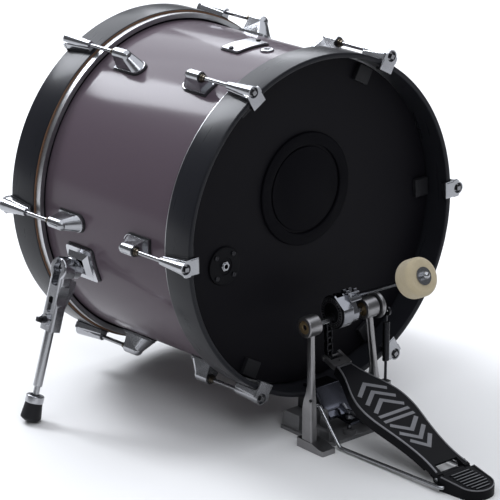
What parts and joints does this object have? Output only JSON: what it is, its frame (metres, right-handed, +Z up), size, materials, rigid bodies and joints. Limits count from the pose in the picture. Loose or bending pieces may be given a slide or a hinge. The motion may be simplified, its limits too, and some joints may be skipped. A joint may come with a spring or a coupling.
{
  "type": "bass drum",
  "caption": "Trigger bass drum with lacquered shell, wooden hoops held by claw hooks, fold-out spurs, and a chain-drive foot pedal clamped to the front hoop.",
  "frame": {"origin": "on the floor, under the middle of the overall box", "axes": "+Z up; +Y from the player's side (pedal) towards the resonant head; +X to the player's right"},
  "size_m": [0.648, 0.7398, 0.5327],
  "materials": {
    "shell_lacquer": "high-gloss metallic lacquer over maple",
    "hoop_black": "satin black lacquer over maple",
    "flesh_hoop_metal": "brushed",
    "head_black": "matte mesh-backed film",
    "pad_rubber": "matte black",
    "block_rubber": "satin black",
    "hardware_chrome": "polished",
    "gasket_rubber": "matte black",
    "nut_brass": "machined",
    "washer_nylon": "black nylon",
    "jack_plate_black": "satin black",
    "jack_screw_black": "black oxide",
    "bar_aluminium": "mill finish",
    "foam_grey": "open-cell foam",
    "piezo_brass": "thin disc",
    "spur_chrome": "polished cast",
    "spur_rubber": "moulded black",
    "screw_black": "black oxide",
    "base_black": "black powder coat",
    "post_aluminium": "die-cast satin",
    "bush_bronze": "sintered bronze",
    "clamp_pad_rubber": "black",
    "clamp_chrome": "polished pressing",
    "axle_steel": "bright hexagon bar",
    "cam_metal": "satin casting with dark felt in the groove",
    "beater_clamp_metal": "polished casting",
    "felt_cream": "pressed wool felt",
    "chain_steel": "oiled roller chain",
    "board_black": "black coat with bare edge",
    "rotor_metal": "satin casting",
    "spring_black": "black spring wire"
  },
  "bodies": {
    "drum": {"shell": "shell_lacquer", "batter_hoop": "hoop_black", "resonant_hoop": "hoop_black", "flesh_hoops": "flesh_hoop_metal", "batter_head": "head_black", "resonant_head": "head_black", "strike_pad": "pad_rubber", "strike_pad_ring": "pad_rubber", "head_blocks": "block_rubber", "claws": "hardware_chrome", "claw_gaskets": "gasket_rubber", "tension_rods": "hardware_chrome", "swivel_nuts": "nut_brass", "nut_washers": "washer_nylon", "lugs": "hardware_chrome", "shell_gaskets": "gasket_rubber", "jack_plate": "jack_plate_black", "jack_socket": "hardware_chrome", "jack_screws": "jack_screw_black", "plate_screws": "hardware_chrome", "mount_plate": "hardware_chrome", "air_vent": "hardware_chrome", "pad_support_bar": "bar_aluminium", "sensor_foam": "foam_grey", "piezo_sensor": "piezo_brass", "spur_brackets": "hardware_chrome", "pedal_base": "base_black", "left_post": "post_aluminium", "right_post": "post_aluminium", "axle_bushes": "bush_bronze", "hoop_clamp_pad": "clamp_pad_rubber", "heel_plate": "board_black", "hinge_pin": "axle_steel", "radius_rods": "axle_steel", "spring_anchor": "spring_black", "drive_chain": "chain_steel", "return_spring": "spring_black"},
    "axle": {"pedal_axle": "axle_steel", "chain_cam": "cam_metal", "beater_clamp": "beater_clamp_metal", "beater_key_screws": "beater_clamp_metal", "spring_rotor": "rotor_metal"},
    "beater": {"beater_shaft": "axle_steel", "beater_felt": "felt_cream", "beater_nut": "axle_steel"},
    "footboard": {"footboard": "board_black", "toe_fork": "post_aluminium"},
    "spring_link": {"spring_link": "spring_black"},
    "hoop_clamp": {"hoop_clamp_plate": "clamp_chrome"},
    "clamp_bolt": {"clamp_wing_bolt": "clamp_chrome"},
    "left_spur": {"left_spur_clamp": "spur_chrome"},
    "left_spur_leg": {"left_spur_rod": "spur_chrome", "left_spur_collar": "spur_chrome"},
    "left_spur_tip": {"left_spur_foot": "spur_rubber"},
    "left_spur_screw": {"left_spur_screw": "screw_black"},
    "right_spur": {"right_spur_clamp": "spur_chrome"},
    "right_spur_leg": {"right_spur_rod": "spur_chrome", "right_spur_collar": "spur_chrome"},
    "right_spur_tip": {"right_spur_foot": "spur_rubber"},
    "right_spur_screw": {"right_spur_screw": "screw_black"}
  },
  "joints": [
    {"name": "left_spur_fold", "type": "hinge", "parent": "drum", "child": "left_spur", "pos_m": [-0.25089, 0.22527, 0.21541], "axis": [0.9622, -0.0119, -0.2719], "range_deg": [0, 80]},
    {"name": "left_spur_extend", "type": "slide", "parent": "left_spur", "child": "left_spur_leg", "axis": [-0.2717, 0.0168, -0.9622], "range_m": [-0.025, 0.018]},
    {"name": "left_foot_turn", "type": "hinge", "parent": "left_spur_leg", "child": "left_spur_tip", "pos_m": [-0.30727, 0.22875, 0.01574], "axis": [-0.2717, 0.0168, -0.9622], "range_deg": [0, 720]},
    {"name": "left_screw_turn", "type": "hinge", "parent": "left_spur", "child": "left_spur_screw", "pos_m": [-0.27099, 0.22651, 0.1442], "axis": [-0.9622, 0.0119, 0.2719], "range_deg": [0, 360]},
    {"name": "right_spur_fold", "type": "hinge", "parent": "drum", "child": "right_spur", "pos_m": [0.25089, 0.22527, 0.21541], "axis": [0.9622, 0.0119, 0.2719], "range_deg": [0, 80]},
    {"name": "right_spur_extend", "type": "slide", "parent": "right_spur", "child": "right_spur_leg", "axis": [0.2717, 0.0168, -0.9622], "range_m": [-0.025, 0.018]},
    {"name": "right_foot_turn", "type": "hinge", "parent": "right_spur_leg", "child": "right_spur_tip", "pos_m": [0.30727, 0.22875, 0.01574], "axis": [0.2717, 0.0168, -0.9622], "range_deg": [0, 720]},
    {"name": "right_screw_turn", "type": "hinge", "parent": "right_spur", "child": "right_spur_screw", "pos_m": [0.27099, 0.22651, 0.1442], "axis": [0.9622, 0.0119, 0.2719], "range_deg": [0, 360]},
    {"name": "beater_swing", "type": "hinge", "parent": "drum", "child": "axle", "pos_m": [-0.005, -0.07688, 0.173], "axis": [-1, 0, 0], "range_deg": [0, 73.5], "stiffness_Nm_per_rad": 0.4, "springref_deg": -34.38},
    {"name": "footboard_press", "type": "hinge", "parent": "drum", "child": "footboard", "pos_m": [-0.005, -0.30188, 0.013], "axis": [-1, 0, 0], "range_deg": [0, 7.8], "deforming": ["drive_chain"]},
    {"name": "spring_lift", "type": "slide", "parent": "drum", "child": "spring_link", "axis": [0, 0, 1], "range_m": [0, 0.01566], "deforming": ["return_spring"]},
    {"name": "beater_height", "type": "slide", "parent": "axle", "child": "beater", "axis": [0, -0.8918, 0.4524], "range_m": [-0.02, 0.006]},
    {"name": "clamp_bolt_turn", "type": "hinge", "parent": "drum", "child": "clamp_bolt", "pos_m": [-0.005, -0.09788, 0.036], "axis": [0, 0, 1], "range_deg": [0, 720]},
    {"name": "hoop_clamp_open", "type": "hinge", "parent": "drum", "child": "hoop_clamp", "pos_m": [-0.005, -0.07388, 0.0345], "axis": [1, 0, 0], "range_deg": [0, 8]}
  ],
  "couplings": [
    {"joint": "footboard_press", "follows": "beater_swing", "ratio": 0.10545},
    {"joint": "spring_lift", "follows": "beater_swing", "m_per_rad": 0.012127},
    {"joint": "hoop_clamp_open", "follows": "clamp_bolt_turn", "ratio": 0.01111}
  ]
}
